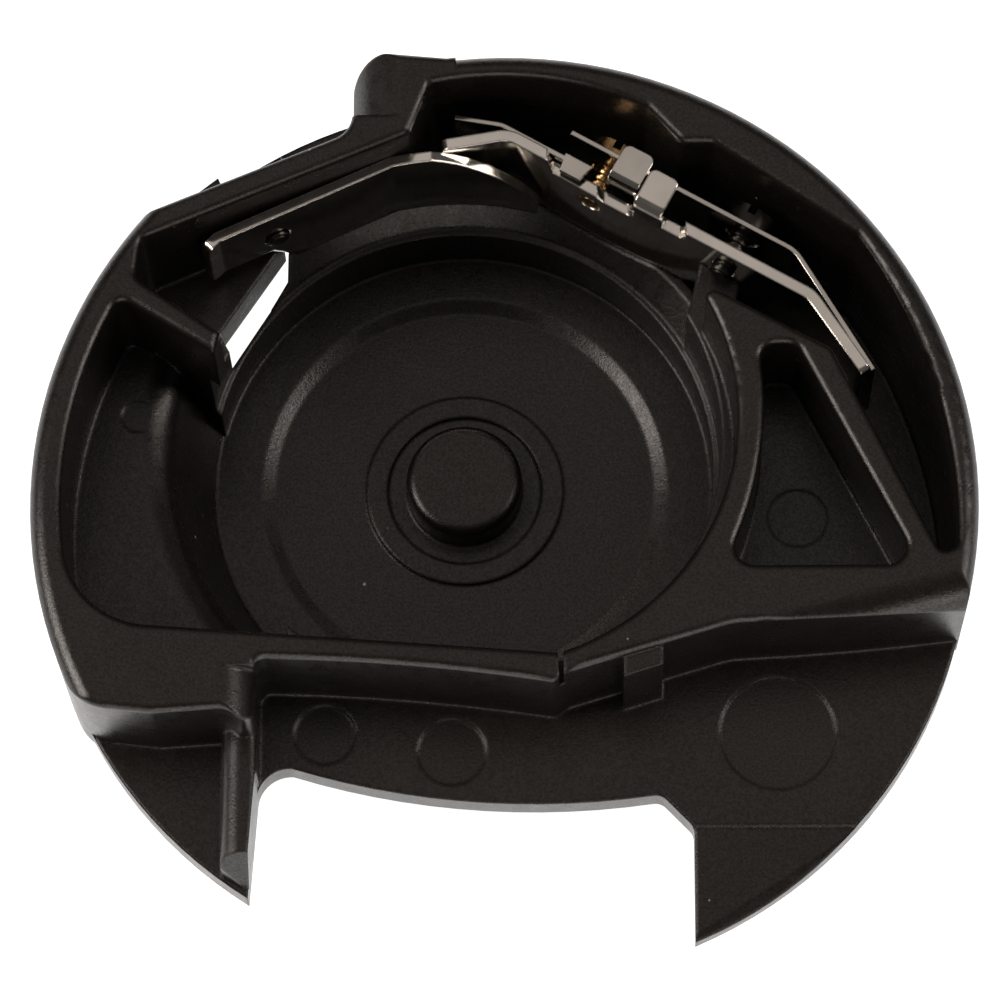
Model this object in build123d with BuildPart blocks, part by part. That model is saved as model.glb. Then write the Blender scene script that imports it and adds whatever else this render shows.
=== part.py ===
from build123d import *
import os
from math import cos, radians, sin, sqrt

os.makedirs("parts", exist_ok=True)

# Inner bobbin case of a drop-in rotary hook.
# Frame: origin on the hook axis at the underside of the cup, +Z up out of the open side,
# +Y towards the spring channel, -Y towards the needle opening between the two horns.

# ---- driving dimensions, millimetres ----
rim_radius = 19.4
top_z = 12.4
flange_bottom_z = 5.5
flange_top_z = 6.9

# bobbin well, about the bobbin axis
well_x = -1.83
well_y = 3.80
floor_z = 1.2
ledge_z = 4.0
step_z = 8.2
well_radius = 10.66
well_step_radius = 10.90
well_mouth_radius = 11.40
cup_radius = 12.6

# relief on the well floor
boss_radius = 2.48
boss_top_z = 2.66
boss_edge = 0.45
groove_radius = 3.32
groove_z = 0.90
inner_disc_radius = 4.26
inner_disc_z = 1.10
ring_radius = 8.77
ring_chamfer = 0.62
ring_z = 0.93
disc_recess_radius = 2.1
disc_recess_z = 1.4

# spring channel and pockets
channel_radius = 18.35
shell_radius = 19.0
channel_floor_z = 2.6
guide_pocket_floor_z = 6.2
triangle_floor_z = 7.4
scoop_floor_z = 6.9
slot_skirt_z = 4.2

# sheet metal: lines at a distance from the bobbin axis, normal to plate_direction
plate_angle = -30.0
plate_distance = 12.0
leaf_distance = 13.5
guide_thickness = 0.45
plate_thickness = 0.50
leaf_thickness = 0.20
metal_top_z = 10.5
plate_bottom_z = 3.4
guide_bottom_z = 5.4
leaf_top_z = 10.2
leaf_bottom_z = 5.2

# screws
screw_radius = 0.50
thread_root_radius = 0.38
thread_pitch = 0.30
head_radius = 1.15
head_height = 0.80
driver_slot_width = 0.35
driver_slot_depth = 0.35
running_clearance = 0.05
adjusting_screw_z = 8.2
leaf_screw_z = 8.9
guide_screw_z = 8.3

edge_radius = 0.30
plate_along = (cos(radians(plate_angle)), sin(radians(plate_angle)))
plate_outward = (-plate_along[1], plate_along[0])


def rim_at_y(y, side, radius=rim_radius):
    """Point of a circle about the hook axis at height y, right (+1) or left (-1)."""
    return (side * sqrt(radius**2 - y**2), y)


def rim_at_x(x, side, radius=rim_radius):
    """Point of a circle about the hook axis at x, back (+1) or front (-1)."""
    return (x, side * sqrt(radius**2 - x**2))


def from_well(distance, along):
    """Point at a distance outward from the bobbin axis and along the tension plate."""
    x = well_x + distance * plate_outward[0] + along * plate_along[0]
    y = well_y + distance * plate_outward[1] + along * plate_along[1]
    return (x, y)


# corner points that several outlines share
front_right = rim_at_y(-4.8, 1)
front_left = rim_at_y(-8.95, -1)
chord_left = (-15.0, 12.30)
chord_right = (-6.35, 15.94)
front_wall_right = (2.25, -6.82)
front_wall_left = (-16.9, -5.40)
web_tip = (7.75, 9.4)
slot_left_low = (-12.20, 9.13)
slot_left_high = (-9.50, 13.24)
slot_right_low = (-11.76, 8.39)
slot_right_high = (-9.41, 12.18)

# screw axes
adjusting_along = -0.55
leaf_screw_along = 5.95
driver_hole_radius = 1.2
chord_angle = 22.8


def plate_plane(distance, along, z):
    """Plane facing outward from the bobbin axis, local x along the tension plate."""
    x, y = from_well(distance, along)
    return Plane(origin=(x, y, z), x_dir=(*plate_along, 0), z_dir=(*plate_outward, 0))


def tab_plane(along):
    """Section plane across the tension plate: local x is the distance outward, local y is up."""
    origin = (well_x + along * plate_along[0], well_y + along * plate_along[1], 0)
    return Plane(origin=origin, x_dir=(*plate_outward, 0), z_dir=(plate_outward[1], -plate_outward[0], 0))


guide_screw_plane = Plane(
    origin=(-9.75, 13.0, guide_screw_z),
    x_dir=(-cos(radians(chord_angle)), -sin(radians(chord_angle)), 0),
    z_dir=(-sin(radians(chord_angle)), cos(radians(chord_angle)), 0),
)

well_axis = Axis((well_x, well_y, 0), (0, 0, 1))


def well_plane(angle):
    """Section plane through the bobbin axis: local x is the radius, local y is up."""
    radial = (cos(radians(angle)), sin(radians(angle)), 0)
    return Plane(origin=(well_x, well_y, 0), x_dir=radial, z_dir=(radial[1], -radial[0], 0))


def axis_plane(angle):
    """Section plane through the hook axis: local x is the radius, local y is up."""
    radial = (cos(radians(angle)), sin(radians(angle)), 0)
    return Plane(origin=(0, 0, 0), x_dir=radial, z_dir=(radial[1], -radial[0], 0))


# ---- rolled slope from the finger scoop down to the well floor ----
with BuildPart() as scoop_slope:
    with BuildSketch(well_plane(145)):
        with BuildLine():
            Line((10.0, floor_z), (10.72, floor_z))
            ThreePointArc((10.72, floor_z), (10.82, 1.35), (10.92, 1.75))
            Line((10.92, 1.75), (12.05, 5.5))
            ThreePointArc((12.05, 5.5), (12.55, 6.4), (13.7, scoop_floor_z))
            Line((13.7, scoop_floor_z), (13.7, 7.5))
            Line((13.7, 7.5), (10.0, 7.5))
            Line((10.0, 7.5), (10.0, floor_z))
        make_face()
    revolve(axis=well_axis, revolution_arc=95)
    split(bisect_by=Plane(origin=(-8.0, -5.95, 0), z_dir=(0.06, 1, 0)), keep=Keep.TOP)
    split(bisect_by=Plane(origin=(-11.95, 6.10, 0), z_dir=(-0.574, -0.819, 0)), keep=Keep.TOP)

# ---- plan of the open side: well, finger scoop, guide pocket and spring channel ----
with BuildSketch() as mouth:
    with BuildLine():
        Line(front_wall_right, (-14.3, -5.59))
        ThreePointArc((-14.3, -5.59), (-16.65, -4.70), rim_at_y(-2.4, -1, 18.1))
        ThreePointArc(rim_at_y(-2.4, -1, 18.1), rim_at_y(3.0, -1, 18.1), rim_at_y(8.6, -1, 18.1))
        Polyline(rim_at_y(8.6, -1, 18.1), (-11.95, 6.10), (-11.75, 7.0), (-15.3, 9.45), (-15.1, 11.15))
        Polyline((-15.1, 11.15), (-3.95, 15.85), rim_at_x(-3.1, 1, channel_radius))
        ThreePointArc(
            rim_at_x(-3.1, 1, channel_radius),
            rim_at_x(2.0, 1, channel_radius),
            rim_at_x(6.0, 1, 18.0),
        )
        Polyline(rim_at_x(6.0, 1, 18.0), (7.45, 15.35), (8.75, 15.35), (14.7, 11.2))
        ThreePointArc((14.7, 11.2), rim_at_y(4.7, 1, 18.3), rim_at_y(-2.4, 1, 18.6))
        Polyline(rim_at_y(-2.4, 1, 18.6), (17.75, -2.65), (13.5, 6.2), web_tip)
        ThreePointArc(web_tip, (well_x + well_mouth_radius, well_y), front_wall_right)
    make_face()
    fillet(mouth.vertices().filter_by_position(Axis.X, -16.5, -15.0), radius=0.5)
    fillet(mouth.vertices().filter_by_position(Axis.X, -11.7, 1.0), radius=0.35)
    fillet(mouth.vertices().filter_by_position(Axis.X, 3.0, 18.5), radius=0.35)

# ---- case body ----
with BuildPart() as case_body:
    # flange with the two horns and the needle opening
    with BuildSketch(Plane.XY.offset(flange_bottom_z)) as flange:
        with BuildLine():
            left_tip = rim_at_x(-10.55, -1, 18.9)
            right_tip = rim_at_x(7.75, -1, 19.1)
            ThreePointArc(right_tip, (rim_radius, 0), rim_at_x(0, 1))
            ThreePointArc(rim_at_x(0, 1), (-rim_radius, 0), left_tip)
            Line(left_tip, (-10.25, -11.5))
            ThreePointArc((-10.25, -11.5), (-9.8, -10.55), (-8.8, -10.2))
            ThreePointArc((-8.8, -10.2), (-1.2, -11.65), (6.4, -11.35))
            Polyline((6.4, -11.35), (7.75, -12.75), right_tip)
        make_face()
        fillet(flange.vertices().sort_by_distance((7.1, -12.0))[:2], radius=0.6)
    extrude(amount=flange_top_z - flange_bottom_z)

    # cup under the flange, and the shell under the spring channel
    with BuildSketch(Plane.XY):
        with Locations((well_x, well_y)):
            Circle(cup_radius)
    extrude(amount=flange_bottom_z)
    with BuildSketch(Plane.XY.offset(channel_floor_z - 1.2)):
        with BuildLine():
            shell_left = rim_at_x(-4.8, 1, shell_radius)
            shell_right = rim_at_y(-3.4, 1, shell_radius)
            ThreePointArc(shell_left, rim_at_y(12.0, 1, shell_radius), shell_right)
            Polyline(shell_right, (5.0, -2.0), (-5.6, 15.2), shell_left)
        make_face()
    extrude(amount=flange_bottom_z - channel_floor_z + 1.2)

    # rim block up to the open side
    with BuildSketch(Plane.XY.offset(flange_bottom_z)) as rim:
        with BuildLine():
            ThreePointArc(front_right, rim_at_y(8.0, 1), rim_at_x(-2.4, 1))
            Polyline(rim_at_x(-2.4, 1), (-6.35, 19.62), chord_right, chord_left)
            ThreePointArc(chord_left, (-rim_radius, 0), front_left)
            Polyline(front_left, (-14.2, -9.3), (-11.2, -9.1), (-10.15, -9.9), (-10.15, -7.0))
            ThreePointArc((-10.15, -7.0), (-4.2, -7.3), (2.0, -8.05))
            Polyline((2.0, -8.05), (2.60, -7.65), (9.3, -5.6))
            ThreePointArc((9.3, -5.6), (14.2, -5.28), front_right)
        make_face()
        fillet(rim.vertices().sort_by_distance(front_left)[0], radius=2.0)
        fillet(rim.vertices().sort_by_distance((-11.2, -9.1))[0], radius=0.8)
        fillet(rim.vertices().sort_by_distance((-10.15, -9.9))[0], radius=0.4)
        fillet(rim.vertices().sort_by(Axis.Y)[-1], radius=1.4)
        fillet(rim.vertices().sort_by_distance(chord_right)[0], radius=1.2)
        fillet(rim.vertices().sort_by_distance((-10.15, -7.0))[0], radius=0.5)
        fillet(rim.vertices().sort_by_distance((9.3, -5.6))[0], radius=3.0)
    extrude(amount=top_z - flange_bottom_z)

    # open side down to the step, rounded along its whole rim
    with BuildSketch(Plane.XY.offset(step_z)):
        add(mouth.sketch)
    extrude(amount=top_z - step_z, mode=Mode.SUBTRACT)

    # triangular pocket in the right web
    with BuildSketch(Plane.XY.offset(triangle_floor_z)) as triangle:
        with BuildLine():
            Polyline((10.5, 6.4), (12.05, 6.4), (16.85, -3.15), (8.95, -3.15))
            ThreePointArc((8.95, -3.15), (10.5, 1.6), (10.5, 6.4))
        make_face()
        fillet(triangle.vertices().sort_by(Axis.Y)[-2:], radius=0.65)
        fillet(triangle.vertices().sort_by(Axis.Y)[:2], radius=0.8)
    extrude(amount=top_z - triangle_floor_z, mode=Mode.SUBTRACT)

    # rounded upper edges, except the short step beside the slit
    upper_edges = case_body.edges().group_by(Axis.Z)[-1]
    fillet(upper_edges.sort_by_distance((2.3, -7.85, top_z))[1:], radius=edge_radius)

    # outer edge of the rim, rounded more than the inner edges, on both sides of the knob
    for start_angle, arc in ((-20.0, 116.0), (138.0, 80.0)):
        with BuildSketch(axis_plane(start_angle)):
            with BuildLine():
                ThreePointArc((18.72, top_z + 0.01), (19.2, 12.19), (19.43, 11.68))
                Polyline((19.43, 11.68), (19.8, 11.68), (19.8, top_z + 0.3), (18.72, top_z + 0.3))
                Line((18.72, top_z + 0.3), (18.72, top_z + 0.01))
            make_face()
        revolve(axis=Axis.Z, revolution_arc=arc, mode=Mode.SUBTRACT)

    # upper edge of the web rolls down towards the right end
    with BuildSketch(Plane(origin=(9.5, -5.25, 0), x_dir=(0.230, -0.973, 0), z_dir=(-0.973, -0.230, 0))):
        with BuildLine():
            Line((0, top_z + 0.5), (0, top_z))
            ThreePointArc((0, top_z), (1.24, 11.89), (1.75, 10.65))
            Line((1.75, 10.65), (1.75, 9.2))
            Line((1.75, 9.2), (4.0, 7.0))
            Line((4.0, 7.0), (4.0, top_z + 0.5))
            Line((4.0, top_z + 0.5), (0, top_z + 0.5))
        make_face()
    extrude(amount=-12.0, mode=Mode.SUBTRACT)

    # left side of the knob, rolled down the same way
    with BuildSketch(Plane.XZ.offset(-16.6)):
        with BuildLine():
            Line((-4.25, top_z + 0.5), (-4.25, top_z))
            ThreePointArc((-4.25, top_z), (-5.7, 11.75), (-6.6, 9.6))
            Line((-6.6, 9.6), (-8.0, 9.6))
            Line((-8.0, 9.6), (-8.0, top_z + 0.5))
            Line((-8.0, top_z + 0.5), (-4.25, top_z + 0.5))
        make_face()
    extrude(amount=-4.0, mode=Mode.SUBTRACT)

    # land behind the chord wall, round the head of the guide plate's screw
    with BuildSketch(Plane.XY.offset(flange_bottom_z)):
        with BuildLine():
            Polyline(chord_left, (-13.0, 14.4), (-11.55, 15.55), (-8.6, 16.25), (-7.67, 15.38), close=True)
        make_face()
    extrude(amount=9.2 - flange_bottom_z)

    # ridge along the left horn, rounded along its top, sloping down at its end
    with BuildSketch(Plane.XZ.offset(8.9)):
        with BuildLine():
            Polyline((-10.15, 8.95), (-10.15, flange_top_z), (-11.60, flange_top_z), (-11.60, 8.4))
            ThreePointArc((-11.60, 8.4), (-11.35, 9.0), (-10.75, 9.25))
            Line((-10.75, 9.25), (-10.45, 9.25))
            ThreePointArc((-10.45, 9.25), (-10.24, 9.16), (-10.15, 8.95))
        make_face()
    extrude(amount=6.6)
    with BuildSketch(Plane.YZ.offset(-12.0)):
        with BuildLine():
            Polyline((-14.3, 9.3), (-15.3, flange_top_z), (-16.0, flange_top_z), (-16.0, 9.3), close=True)
        make_face()
    extrude(amount=2.2, mode=Mode.SUBTRACT)
    with BuildSketch(Plane.XY.offset(flange_top_z)):
        with BuildLine():
            Polyline((-10.2, -11.0), (-10.5, -15.4), (-12.0, -14.5), (-12.0, -16.5), (-9.5, -16.5))
            Polyline((-9.5, -16.5), (-9.5, -11.0), (-10.2, -11.0))
        make_face()
    extrude(amount=2.5, mode=Mode.SUBTRACT)

    # top of the left block falls away towards the ridge
    with BuildSketch(Plane.XZ.offset(7.35)):
        with BuildLine():
            Polyline((-10.1, 10.8), (-9.9, 10.8), (-9.9, top_z + 0.5), (-11.6, top_z + 0.5), (-11.6, top_z))
            ThreePointArc((-11.6, top_z), (-10.57, 11.97), (-10.1, 10.8))
        make_face()
    extrude(amount=4.0, mode=Mode.SUBTRACT)

    # rib in front of the right web
    with BuildSketch(Plane.XY.offset(flange_top_z)):
        with BuildLine():
            Polyline((4.85, -6.2), (4.85, -7.75), (6.45, -7.25), (6.45, -6.2), close=True)
        make_face()
    extrude(amount=5.1)

    # bobbin well: floor to ledge, ledge to step, flat along the front wall
    for start_z, end_z, radius in (
        (floor_z, ledge_z, well_radius),
        (ledge_z, step_z, well_step_radius),
    ):
        with BuildSketch(Plane.XY.offset(start_z)):
            with Locations((well_x, well_y)):
                Circle(radius)
            with BuildLine():
                Polyline(front_wall_right, front_wall_left, (-16.9, -12), (2.25, -12), close=True)
            make_face(mode=Mode.SUBTRACT)
        extrude(amount=end_z - start_z, mode=Mode.SUBTRACT)

    # floor relief round the bobbin axis, and the locating boss
    with BuildSketch(well_plane(0)):
        with BuildLine():
            Polyline(
                (0, groove_z),
                (groove_radius, groove_z),
                (groove_radius, inner_disc_z),
                (inner_disc_radius, inner_disc_z),
                (inner_disc_radius, ring_z),
                (ring_radius - ring_chamfer, ring_z),
                (ring_radius, floor_z),
                (ring_radius, floor_z + 0.5),
                (0, floor_z + 0.5),
                close=True,
            )
        make_face()
    revolve(axis=well_axis, mode=Mode.SUBTRACT)
    with BuildSketch(Plane.XY.offset(0.4)):
        with Locations((well_x, well_y)):
            Circle(boss_radius)
    extrude(amount=boss_top_z - 0.4)
    fillet(case_body.edges().filter_by_position(Axis.Z, boss_top_z, boss_top_z), radius=boss_edge)

    # finger scoop on the left, open to the well
    with BuildSketch(Plane.XY.offset(scoop_floor_z)):
        add(mouth.sketch)
        with BuildLine():
            Polyline((-19, -8), (-9, -8), (-9, 4.0), (-11.9, 6.5), (-19, 11.5), close=True)
        make_face(mode=Mode.INTERSECT)
    extrude(amount=step_z - scoop_floor_z, mode=Mode.SUBTRACT)
    add(scoop_slope.part, mode=Mode.SUBTRACT)

    # pocket behind the guide plate
    with BuildSketch(Plane.XY.offset(guide_pocket_floor_z)):
        add(mouth.sketch)
        with BuildLine():
            Polyline(
                (-18, 11.2),
                (-11.85, 6.8),
                (-10.0, 8.0),
                (0, 12),
                (0, 15.9),
                (-3.9, 15.9),
                (-8, 17),
                close=True,
            )
        make_face(mode=Mode.INTERSECT)
    extrude(amount=step_z - guide_pocket_floor_z, mode=Mode.SUBTRACT)

    # ledge at the back of the well, under the sheet metal
    with BuildSketch(Plane.XY.offset(ledge_z)):
        add(mouth.sketch)
        with BuildLine():
            Polyline(
                (-11.2, 7.4),
                slot_left_low,
                slot_left_high,
                (-9.75, 13.65),
                (-4.3, 16.0),
                (-4.3, 19.0),
                from_well(13.0, -4.4),
                from_well(13.0, 4.0),
                from_well(11.6, 4.9),
                (7.7, 9.2),
                (0, 8),
                close=True,
            )
        make_face(mode=Mode.INTERSECT)
    extrude(amount=step_z - ledge_z, mode=Mode.SUBTRACT)

    # sloping lip under the lower edges of the guide plate and the tension plate
    with BuildSketch(well_plane(20)):
        with BuildLine():
            Polyline((11.0, 3.6), (11.0, ledge_z + 0.1), (12.0, 5.1), (12.4, 5.1), (12.4, 3.6), close=True)
        make_face()
    revolve(axis=well_axis, revolution_arc=132)

    # spring channel
    with BuildSketch(Plane.XY.offset(channel_floor_z)):
        add(mouth.sketch)
        with BuildLine():
            Polyline(
                (-4.2, 16.4),
                (-4.2, 19.5),
                (20, 19.5),
                (20, -4),
                (9.55, 0),
                (9.55, 8.3),
                from_well(12.9, 6.3),
                from_well(12.9, -4.0),
                close=True,
            )
        make_face(mode=Mode.INTERSECT)
    extrude(amount=step_z - channel_floor_z, mode=Mode.SUBTRACT)

    # slot that the tension plate stands in
    with BuildSketch(Plane.XY.offset(plate_bottom_z)):
        with BuildLine():
            Line(from_well(plate_distance, -5.3), from_well(plate_distance, 8.6))
        trace(line_width=plate_thickness + 0.04)
    extrude(amount=step_z - plate_bottom_z + 0.1, mode=Mode.SUBTRACT)

    # slit where the front wall meets the web
    with BuildSketch(Plane.XY.offset(top_z - 1.5)):
        with BuildLine():
            Polyline((2.15, -6.2), (2.25, -8.3), (2.42, -8.3), (2.40, -6.2), close=True)
        make_face()
    extrude(amount=1.5, mode=Mode.SUBTRACT)

    # through slot beside the cup wall, open under the flange, with a skirt along its outer edge
    with BuildSketch(Plane.XY):
        with BuildLine():
            Polyline(slot_left_high, slot_right_high, slot_right_low, slot_left_low, close=True)
        make_face()
    extrude(amount=step_z, mode=Mode.SUBTRACT)
    with BuildSketch(Plane.XY):
        with BuildLine():
            Polyline(
                slot_right_high, slot_right_low, (-14.5, 8.6), (-12.5, 16.0), (-9.2, 16.0), close=True
            )
        make_face()
    extrude(amount=flange_bottom_z, mode=Mode.SUBTRACT)
    with BuildSketch(Plane.XY.offset(slot_skirt_z)):
        with BuildLine():
            Polyline(slot_left_low, slot_left_high, (-10.2, 13.7), (-12.9, 9.6), close=True)
        make_face()
    extrude(amount=flange_bottom_z - slot_skirt_z)

    # right horn: top falls away past a crease, with a bevel along its outer edge
    with BuildSketch(Plane.YZ.offset(7.0)):
        with BuildLine():
            Polyline((-12.7, flange_top_z), (-19.0, flange_top_z + 0.1), (-19.0, 6.35), (-12.7, 6.8), close=True)
        make_face()
    extrude(amount=10.0, mode=Mode.SUBTRACT)
    with BuildSketch(Plane(origin=(13.9, -13.3, 0), x_dir=(0.488, -0.873, 0), z_dir=(-0.873, -0.488, 0))):
        with BuildLine():
            Polyline((0, 6.75), (0, 7.2), (2.5, 7.2), (2.5, 5.2), close=True)
        make_face()
    extrude(amount=8.0, mode=Mode.SUBTRACT)

    # shallow mould marks: ejector pins and an insert
    for x, y, z, radius in (
        (-7.46, -8.77, flange_top_z, 1.27),
        (-2.21, -9.52, flange_top_z, 1.42),
        (11.24, -8.76, flange_top_z, 2.40),
        (-15.50, 5.20, scoop_floor_z, 0.70),
        (12.20, 0.40, triangle_floor_z, 1.25),
    ):
        with BuildSketch(Plane.XY.offset(z - 0.06)):
            with Locations((x, y)):
                Circle(radius)
        extrude(amount=0.5, mode=Mode.SUBTRACT)

    # screw hole in the chord wall with a counterbore in the land
    with BuildSketch(guide_screw_plane):
        Circle(screw_radius + running_clearance)
    extrude(amount=3.0, mode=Mode.SUBTRACT)
    with BuildSketch(guide_screw_plane.offset(1.42)):
        Circle(head_radius + 0.25)
        with Locations((0, 1.0)):
            Rectangle(2 * head_radius + 0.5, 2.0)
    extrude(amount=3.5, mode=Mode.SUBTRACT)

    # driver holes through the rim wall, in line with the two spring screws
    for along, z in ((adjusting_along, adjusting_screw_z), (leaf_screw_along, leaf_screw_z)):
        with BuildSketch(plate_plane(16.0, along, z)):
            Circle(driver_hole_radius)
        extrude(amount=6.0, mode=Mode.SUBTRACT)

    # recess for the steel disc in the underside
    with BuildSketch(Plane.XY):
        with Locations((well_x, well_y)):
            Circle(disc_recess_radius)
    extrude(amount=disc_recess_z, mode=Mode.SUBTRACT)

case_body.part.label = "case_body"
export_step(case_body.part, "parts/case_body.step")


# ---- steel disc in the underside ----
with BuildPart() as steel_disc:
    with BuildSketch(Plane.XY.offset(0.3)):
        with Locations((well_x, well_y)):
            Circle(disc_recess_radius)
    extrude(amount=disc_recess_z - 0.3)
    chamfer(steel_disc.edges().group_by(Axis.Z)[0], length=0.15)

steel_disc.part.label = "steel_disc"
export_step(steel_disc.part, "parts/steel_disc.step")

# ---- guide plate ----
with BuildPart() as guide_plate:
    with BuildSketch(Plane.XY.offset(guide_bottom_z)):
        with BuildLine():
            FilletPolyline((-12.55, 11.35), (-12.05, 11.88), (-4.75, 15.25), radius=0.5)
            ThreePointArc((-4.75, 15.25), (-1.5, 15.55), (1.45, 15.08))
        trace(line_width=guide_thickness)
    extrude(amount=metal_top_z - guide_bottom_z)
    # lower edge of the straight part, and its raised left end
    with BuildSketch(Plane.XZ.offset(-16.5)):
        with BuildLine():
            Polyline((-13, 5), (-13, 7.0), (-9.9, 7.0), (-9.0, 5.6), (-9.0, 5), close=True)
        make_face()
    extrude(amount=8.0, mode=Mode.SUBTRACT)
    # upper edge falls away towards the right end
    with BuildSketch(Plane.XZ.offset(-16.5)):
        with BuildLine():
            ThreePointArc((-3.1, metal_top_z), (-0.4, 8.75), (1.7, 6.1))
            Line((1.7, 6.1), (2.5, 11))
            Line((2.5, 11), (-3.1, 11))
            Line((-3.1, 11), (-3.1, metal_top_z))
        make_face()
    extrude(amount=8.0, mode=Mode.SUBTRACT)
    with BuildSketch(guide_screw_plane.offset(-2.0)):
        Circle(screw_radius + 0.08)
    extrude(amount=4.0, mode=Mode.SUBTRACT)
    for corner_z in (metal_top_z, 7.0):
        fillet(guide_plate.edges().sort_by_distance((-12.55, 11.35, corner_z))[0], radius=0.4)

guide_plate.part.label = "guide_plate"
export_step(guide_plate.part, "parts/guide_plate.step")


# ---- tension plate ----
with BuildPart() as tension_plate:
    with BuildSketch(Plane.XY.offset(plate_bottom_z)):
        with BuildLine():
            FilletPolyline(
                (-2.7, 16.0),
                from_well(plate_distance, -4.6),
                from_well(plate_distance, 9.96),
                (15.05, 5.75),
                radius=1.2,
            )
        trace(line_width=plate_thickness)
    extrude(amount=metal_top_z - plate_bottom_z)
    # free arms at both ends, and the stepped upper edge
    with BuildSketch(Plane.XZ.offset(-18.0)):
        with BuildLine():
            Polyline((-4, 3), (-4, 7.4), (-1.0, 7.0), (0.6, 5.0), (0.6, 3), close=True)
        make_face()
        with BuildLine():
            Polyline((11.2, 3), (11.2, 5.0), (12.2, 5.8), (16, 5.8), (16, 3), close=True)
        make_face()
        with BuildLine():
            Polyline(
                (1.7, 11), (2.05, 9.4), (3.9, 9.3), (4.2, 9.1), (5.2, 9.1), (5.45, 9.3), (5.45, 11), close=True
            )
        make_face()
        with BuildLine():
            Polyline((6.6, 11), (6.6, 9.7), (7.4, 9.7), (7.6, 10.1), (7.6, 11), close=True)
        make_face()
    extrude(amount=14.0, mode=Mode.SUBTRACT)
    # folded tab over the tension leaf
    with BuildSketch(tab_plane(2.18)):
        with BuildLine():
            Line((11.75, 10.0), (11.75, 10.25))
            ThreePointArc((11.75, 10.25), (11.95, 10.62), (12.35, 10.78))
            Line((12.35, 10.78), (13.5, 11.0))
            Line((13.5, 11.0), (13.56, 10.7))
            Line((13.56, 10.7), (12.5, 10.48))
            ThreePointArc((12.5, 10.48), (12.3, 10.35), (12.25, 10.0))
            Line((12.25, 10.0), (11.75, 10.0))
        make_face()
    extrude(amount=0.67, both=True)
    for along, z in ((adjusting_along, adjusting_screw_z), (leaf_screw_along, leaf_screw_z)):
        with BuildSketch(plate_plane(plate_distance - 1.0, along, z)):
            Circle(screw_radius + running_clearance)
        extrude(amount=2.0, mode=Mode.SUBTRACT)
    for end in ((-2.7, 16.0), (15.05, 5.75)):
        fillet(tension_plate.edges().sort_by_distance((*end, metal_top_z))[0], radius=0.4)
    for along in (2.18 - 0.67, 2.18 + 0.67):
        corner = (*from_well(13.53, along), 10.85)
        fillet(tension_plate.edges().sort_by_distance(corner)[0], radius=0.3)

tension_plate.part.label = "tension_plate"
export_step(tension_plate.part, "parts/tension_plate.step")

# ---- tension leaf ----
with BuildPart() as tension_leaf:
    with BuildSketch(Plane.XY.offset(leaf_bottom_z)):
        with BuildLine():
            FilletPolyline(
                from_well(leaf_distance, -2.4), from_well(leaf_distance, 8.4), (15.32, 5.97), radius=1.5
            )
        trace(line_width=leaf_thickness)
    extrude(amount=leaf_top_z - leaf_bottom_z)
    # tapered free end
    with BuildSketch(Plane.XZ.offset(-18.0)):
        with BuildLine():
            Polyline((2, 5), (2, 7.2), (4.4, 6.4), (8.0, 5.2), (8.0, 5), close=True)
        make_face()
    extrude(amount=14.0, mode=Mode.SUBTRACT)
    # tab folded forward over the adjusting screw
    with BuildSketch(tab_plane(0.65)):
        with BuildLine():
            Line((13.6, leaf_top_z - 0.2), (13.6, 10.22))
            Line((13.6, 10.22), (14.1, 10.26))
            Line((14.1, 10.26), (14.1, 10.5))
            Line((14.1, 10.5), (12.85, 10.46))
            ThreePointArc((12.85, 10.46), (12.58, 10.34), (12.46, 10.05))
            Line((12.46, 10.05), (12.46, 9.55))
            Line((12.46, 9.55), (12.68, 9.55))
            Line((12.68, 9.55), (12.68, 10.0))
            ThreePointArc((12.68, 10.0), (12.75, 10.17), (12.9, 10.22))
            Line((12.9, 10.22), (13.4, 10.22))
            Line((13.4, 10.22), (13.4, leaf_top_z - 0.2))
            Line((13.4, leaf_top_z - 0.2), (13.6, leaf_top_z - 0.2))
        make_face()
    extrude(amount=0.70, both=True)
    for along, z in ((adjusting_along, adjusting_screw_z), (leaf_screw_along, leaf_screw_z)):
        with BuildSketch(plate_plane(leaf_distance - 1.0, along, z)):
            Circle(screw_radius + 0.35)
        extrude(amount=2.0, mode=Mode.SUBTRACT)
    for along in (0.65 - 0.70, 0.65 + 0.70):
        corner = (*from_well(14.1, along), 10.38)
        fillet(tension_leaf.edges().sort_by_distance(corner)[0], radius=0.3)

tension_leaf.part.label = "tension_leaf"
export_step(tension_leaf.part, "parts/tension_leaf.step")

# ---- rebound leaf ----
with BuildPart() as rebound_leaf:
    with BuildSketch(Plane.XY.offset(7.2)):
        with BuildLine():
            FilletPolyline(
                from_well(12.42, -1.45), from_well(12.42, -3.1), (-0.1, 17.15), (-2.1, 17.5), radius=1.0
            )
        trace(line_width=leaf_thickness)
    extrude(amount=9.95 - 7.2)
    with BuildSketch(Plane.XY.offset(9.75)):
        with BuildLine():
            Polyline(
                from_well(11.85, -2.05),
                from_well(12.65, -2.2),
                from_well(12.65, -0.9),
                from_well(11.85, -1.1),
                close=True,
            )
        make_face()
    extrude(amount=0.2)

rebound_leaf.part.label = "rebound_leaf"
export_step(rebound_leaf.part, "parts/rebound_leaf.step")


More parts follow.
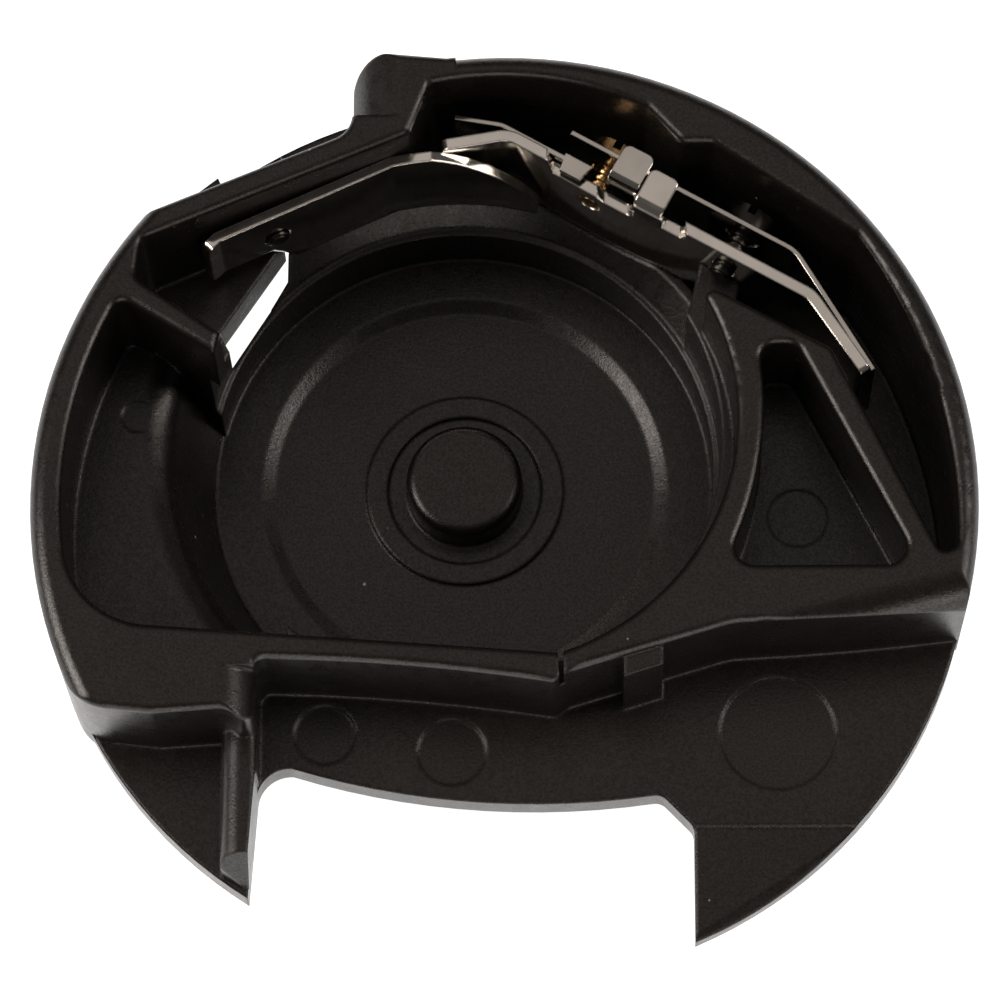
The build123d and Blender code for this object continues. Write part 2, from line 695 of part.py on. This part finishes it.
def screw_with_slot(plane, start, seat):
    """Slotted cheese-head screw: ridged thread from start to the seat, head above the seat."""
    with BuildPart() as screw:
        with BuildSketch(plane.offset(start)):
            Circle(thread_root_radius)
        extrude(amount=seat - start)
        for turn in range(int((seat - start) / thread_pitch)):
            with BuildSketch(plane.offset(start + 0.08 + turn * thread_pitch)):
                Circle(screw_radius)
            extrude(amount=0.5 * thread_pitch)
        with BuildSketch(plane.offset(seat)):
            Circle(head_radius)
        extrude(amount=head_height)
        with BuildSketch(plane.offset(seat + head_height - driver_slot_depth)):
            Rectangle(driver_slot_width, 3 * head_radius)
        extrude(amount=1.0, mode=Mode.SUBTRACT)
    return screw.part


# ---- screws ----
guide_plate_screw = screw_with_slot(guide_screw_plane, -0.50, 1.42)
guide_plate_screw.label = "guide_plate_screw"
export_step(guide_plate_screw, "parts/guide_plate_screw.step")

leaf_screw = screw_with_slot(
    plate_plane(0, leaf_screw_along, leaf_screw_z), plate_distance - 0.65, leaf_distance + 0.15
)
leaf_screw.label = "leaf_screw"
export_step(leaf_screw, "parts/leaf_screw.step")

adjusting_screw = screw_with_slot(
    plate_plane(0, adjusting_along, adjusting_screw_z), plate_distance - 0.22, leaf_distance + 0.15
)
adjusting_screw.label = "adjusting_screw"
export_step(adjusting_screw, "parts/adjusting_screw.step")
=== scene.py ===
import math

import bpy
from mathutils import Matrix, Vector

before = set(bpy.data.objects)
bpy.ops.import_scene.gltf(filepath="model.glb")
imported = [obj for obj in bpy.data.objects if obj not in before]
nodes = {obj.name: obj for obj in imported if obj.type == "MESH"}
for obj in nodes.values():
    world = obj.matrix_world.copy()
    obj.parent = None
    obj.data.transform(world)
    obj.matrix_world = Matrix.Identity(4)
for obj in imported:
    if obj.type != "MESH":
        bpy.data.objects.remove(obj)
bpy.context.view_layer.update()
scene = bpy.context.scene

# ---------------------------------------------------------------- driving values
# Lengths are in metres, and texture scales are per metre of object space.
MM = 0.001

BEVEL_SAMPLES = 6
NOISE_MIDDLE = (0.3, 0.7)  # most of a noise's values fall between these two

PLASTIC_TONES = ((0.0045, 0.0036, 0.0030), (0.0075, 0.0062, 0.0053))
PLASTIC_TONE_SCALE = 260
PLASTIC_ROUGHNESS = (0.25, 0.33)
PLASTIC_GLOSS_SCALE = 1500
PLASTIC_SPECULAR = (0.34, 0.64)
PLASTIC_EDGE = 0.24 * MM
GRAIN_SCALE = 9500
GRAIN_MIDDLE = (0.35, 0.65)
GRAIN_STRENGTH = 0.35
GRAIN_DEPTH = 0.03 * MM
DUST_COLOUR = (0.30, 0.27, 0.23)
DUST_CELL_SCALE = 620.0
DUST_SPECK_EDGE = (0.035, 0.05)  # where a speck fades out, as a share of a cell from its centre
DUST_PATCH_SCALE = 900
DUST_PATCH_GATE = (0.60, 0.62)  # only cells above this noise value carry a speck

METAL_TONE_SCALE = 420
STREAK_SCALE = 900
STREAK_STRENGTH = 0.10
STREAK_DEPTH = 0.01 * MM
STREAK_ROUGHNESS = (0.75, 1.35)  # roughness between streaks, as a share of the metal's own
SHEET_STRETCH = (1, 1, 9)
TURNED_STRETCH = (3, 3, 3)
TURNED_EDGE = 0.05 * MM

FLOOR_HALF = 2
FLOOR_DROP = 0.00005  # keeps the floor clear of the underside
FLOOR_TONES = ((0.60, 0.60, 0.60), (0.64, 0.64, 0.64))
FLOOR_TONE_SCALE = 30
FLOOR_ROUGHNESS = 0.9
FLOOR_GLOW = 0.95

LIGHT_TARGET = (0, 0, 0.006)
LIGHT_COLOUR = (1.0, 0.90, 0.83)
WORLD_COLOUR = (1.0, 0.92, 0.86)
WORLD_STRENGTH = 0.07

CAMERA_TILT = math.radians(18.33)  # away from straight down
CAMERA_TURN = math.radians(2.43)  # about +Z
CAMERA_TARGET_MM = (-0.24, 1.72, 6.0)
CAMERA_DISTANCE_MM = 210
CAMERA_LENS = 179.5
CAMERA_SENSOR = 36.0
CAMERA_CLIP = (0.01, 20.0)


# ---------------------------------------------------------------- materials
def new_material(name):
    """A material with only its shader and output."""
    mat = bpy.data.materials.new(name)
    mat.use_nodes = True
    tree = mat.node_tree
    tree.nodes.clear()
    out = tree.nodes.new("ShaderNodeOutputMaterial")
    shader = tree.nodes.new("ShaderNodeBsdfPrincipled")
    tree.links.new(shader.outputs["BSDF"], out.inputs["Surface"])
    return mat, tree, shader


def add(tree, kind, links=(), **values):
    """A node with its properties or inputs set by name, and links as (input name, output socket)."""
    node = tree.nodes.new(kind)
    for key, value in values.items():
        if key in node.bl_rna.properties:
            setattr(node, key, value)
        else:
            node.inputs[key].default_value = value
    for key, socket in links:
        tree.links.new(socket, node.inputs[key])
    return node


def noise(tree, coords, scale, detail, roughness=0.55):
    node = add(
        tree, "ShaderNodeTexNoise", [("Vector", coords)],
        Scale=scale, Detail=detail, Roughness=roughness,
    )
    return node.outputs["Fac"]


def remap(tree, socket, source, target):
    """The socket's value carried from one (low, high) range to another."""
    node = add(tree, "ShaderNodeMapRange", [("Value", socket)])
    node.inputs["From Min"].default_value, node.inputs["From Max"].default_value = source
    node.inputs["To Min"].default_value, node.inputs["To Max"].default_value = target
    return node.outputs["Result"]


def two_tone(tree, socket, tones):
    """A colour that runs from the first tone to the second over the middle of a noise."""
    node = add(tree, "ShaderNodeValToRGB", [("Fac", socket)])
    for element, place, tone in zip(node.color_ramp.elements, NOISE_MIDDLE, tones):
        element.position = place
        element.color = (*tone, 1.0)
    return node.outputs["Color"]


def relief(tree, shader, height, edge, strength, distance):
    """Edges rounded in the shading, with a fine relief over them."""
    rounded = add(tree, "ShaderNodeBevel", samples=BEVEL_SAMPLES, Radius=edge)
    bump = add(
        tree, "ShaderNodeBump", [("Height", height), ("Normal", rounded.outputs["Normal"])],
        Strength=strength, Distance=distance,
    )
    tree.links.new(bump.outputs["Normal"], shader.inputs["Normal"])


def plastic(name):
    """Black moulded plastic: fine eroded grain, uneven gloss and a few specks of dust."""
    mat, tree, shader = new_material(name)
    coords = add(tree, "ShaderNodeTexCoord").outputs["Object"]
    cloud = noise(tree, coords, PLASTIC_TONE_SCALE, detail=4)
    grain = noise(tree, coords, GRAIN_SCALE, detail=2, roughness=0.7)
    gloss = noise(tree, coords, PLASTIC_GLOSS_SCALE, detail=3, roughness=0.6)
    patches = noise(tree, coords, DUST_PATCH_SCALE, detail=0)
    cells = add(tree, "ShaderNodeTexVoronoi", [("Vector", coords)], Scale=DUST_CELL_SCALE)
    speck = remap(tree, cells.outputs["Distance"], DUST_SPECK_EDGE, (1.0, 0.0))
    gate = remap(tree, patches, DUST_PATCH_GATE, (0.0, 1.0))
    dust = add(tree, "ShaderNodeMath", [(0, speck), (1, gate)], operation="MULTIPLY").outputs[0]

    colour = tree.nodes.new("ShaderNodeMix")
    colour.data_type = "RGBA"
    colour.inputs["B"].default_value = (*DUST_COLOUR, 1)
    tree.links.new(dust, colour.inputs["Factor"])
    tree.links.new(two_tone(tree, cloud, PLASTIC_TONES), colour.inputs["A"])
    tree.links.new(colour.outputs["Result"], shader.inputs["Base Color"])

    roughness = remap(tree, gloss, NOISE_MIDDLE, PLASTIC_ROUGHNESS)
    tree.links.new(roughness, shader.inputs["Roughness"])
    specular = remap(tree, grain, GRAIN_MIDDLE, PLASTIC_SPECULAR)
    tree.links.new(specular, shader.inputs["Specular IOR Level"])
    relief(tree, shader, grain, PLASTIC_EDGE, GRAIN_STRENGTH, GRAIN_DEPTH)
    return mat


def metal(name, light, dark, rough, stretch, edge):
    """Sheet or turned metal: faint streaks and a slow change of tone."""
    mat, tree, shader = new_material(name)
    coords = add(tree, "ShaderNodeTexCoord").outputs["Object"]
    tone = noise(tree, coords, METAL_TONE_SCALE, detail=4)
    stretched = add(tree, "ShaderNodeMapping", [("Vector", coords)], Scale=stretch)
    streaks = noise(tree, stretched.outputs["Vector"], STREAK_SCALE, detail=4, roughness=0.6)
    tree.links.new(two_tone(tree, tone, (dark, light)), shader.inputs["Base Color"])
    shader.inputs["Metallic"].default_value = 1.0
    roughness = remap(tree, streaks, NOISE_MIDDLE, [rough * share for share in STREAK_ROUGHNESS])
    tree.links.new(roughness, shader.inputs["Roughness"])
    relief(tree, shader, streaks, edge, STREAK_STRENGTH, STREAK_DEPTH)
    return mat


black_plastic = plastic("black_plastic_moulded")
spring_steel = metal(
    "spring_steel_bright", (0.88, 0.85, 0.80), (0.74, 0.71, 0.66), 0.11, SHEET_STRETCH, 0.14 * MM
)
leaf_steel = metal(
    "spring_steel_leaf", (0.72, 0.69, 0.64), (0.56, 0.54, 0.50), 0.11, SHEET_STRETCH, 0.07 * MM
)
brass = metal(
    "brass_turned", (0.62, 0.42, 0.20), (0.48, 0.30, 0.13), 0.24, TURNED_STRETCH, TURNED_EDGE
)
plain_steel = metal(
    "steel_turned", (0.42, 0.41, 0.39), (0.30, 0.29, 0.28), 0.30, TURNED_STRETCH, TURNED_EDGE
)
black_oxide = metal(
    "black_oxide", (0.060, 0.057, 0.052), (0.030, 0.028, 0.026), 0.34, TURNED_STRETCH, TURNED_EDGE
)

for name, mat in (
    ("case_body", black_plastic),
    ("steel_disc", plain_steel),
    ("guide_plate", spring_steel),
    ("guide_plate_screw", black_oxide),
    ("tension_plate", spring_steel),
    ("tension_leaf", leaf_steel),
    ("rebound_leaf", leaf_steel),
    ("leaf_screw", black_oxide),
    ("adjusting_screw", brass),
):
    data = nodes[name].data
    data.materials.clear()
    data.materials.append(mat)

# ---------------------------------------------------------------- floor
floor_corners = [
    (-FLOOR_HALF, -FLOOR_HALF, 0),
    (FLOOR_HALF, -FLOOR_HALF, 0),
    (FLOOR_HALF, FLOOR_HALF, 0),
    (-FLOOR_HALF, FLOOR_HALF, 0),
]
floor_mesh = bpy.data.meshes.new("floor")
floor_mesh.from_pydata(floor_corners, [], [(0, 1, 2, 3)])
floor = bpy.data.objects.new("floor", floor_mesh)
floor.location.z = -FLOOR_DROP
scene.collection.objects.link(floor)
floor_mat, floor_tree, floor_shader = new_material("floor_paper")
floor_coords = add(floor_tree, "ShaderNodeTexCoord").outputs["Object"]
floor_tone = noise(floor_tree, floor_coords, FLOOR_TONE_SCALE, detail=2)
floor_colour = two_tone(floor_tree, floor_tone, FLOOR_TONES)
floor_tree.links.new(floor_colour, floor_shader.inputs["Base Color"])
floor_shader.inputs["Roughness"].default_value = FLOOR_ROUGHNESS
floor_shader.inputs["Emission Color"].default_value = (1, 1, 1, 1)
floor_shader.inputs["Emission Strength"].default_value = FLOOR_GLOW
floor_mesh.materials.append(floor_mat)

# ---------------------------------------------------------------- light
# name, place, size across and along, power in watts
for name, place, size, power in (
    ("top_box", (0, 0.26, 0.75), (0.9, 0.7), 0.70),
    ("left_box", (-0.50, -0.02, 0.40), (0.25, 0.45), 2.8),
    ("right_box", (0.52, 0.0, 0.36), (0.20, 0.40), 1.7),
    ("front_box", (0.08, -0.55, 0.16), (0.5, 0.25), 1.1),
):
    data = bpy.data.lights.new(name, "AREA")
    data.shape = "RECTANGLE"
    data.size, data.size_y = size
    data.energy = power
    data.color = LIGHT_COLOUR
    light = bpy.data.objects.new(name, data)
    light.location = place
    direction = Vector(LIGHT_TARGET) - Vector(place)
    light.rotation_euler = direction.to_track_quat("-Z", "Y").to_euler()
    scene.collection.objects.link(light)

world = bpy.data.worlds.new("studio")
scene.world = world
world.use_nodes = True
background = world.node_tree.nodes["Background"]
background.inputs["Color"].default_value = (*WORLD_COLOUR, 1)
background.inputs["Strength"].default_value = WORLD_STRENGTH

# ---------------------------------------------------------------- camera
camera_target = Vector(CAMERA_TARGET_MM) * MM
back = Vector(
    (
        math.sin(CAMERA_TURN) * math.sin(CAMERA_TILT),
        -math.cos(CAMERA_TURN) * math.sin(CAMERA_TILT),
        math.cos(CAMERA_TILT),
    )
)
across = Vector((0, 1, 0)).cross(back).normalized()
up = back.cross(across)
camera_place = camera_target + back * CAMERA_DISTANCE_MM * MM
camera_data = bpy.data.cameras.new("camera")
camera_data.sensor_width = CAMERA_SENSOR
camera_data.lens = CAMERA_LENS
camera_data.clip_start, camera_data.clip_end = CAMERA_CLIP
camera = bpy.data.objects.new("camera", camera_data)
camera.matrix_world = Matrix(
    (
        (across.x, up.x, back.x, camera_place.x),
        (across.y, up.y, back.y, camera_place.y),
        (across.z, up.z, back.z, camera_place.z),
        (0, 0, 0, 1),
    )
)
scene.collection.objects.link(camera)
scene.camera = camera
scene.view_settings.view_transform = "Standard"
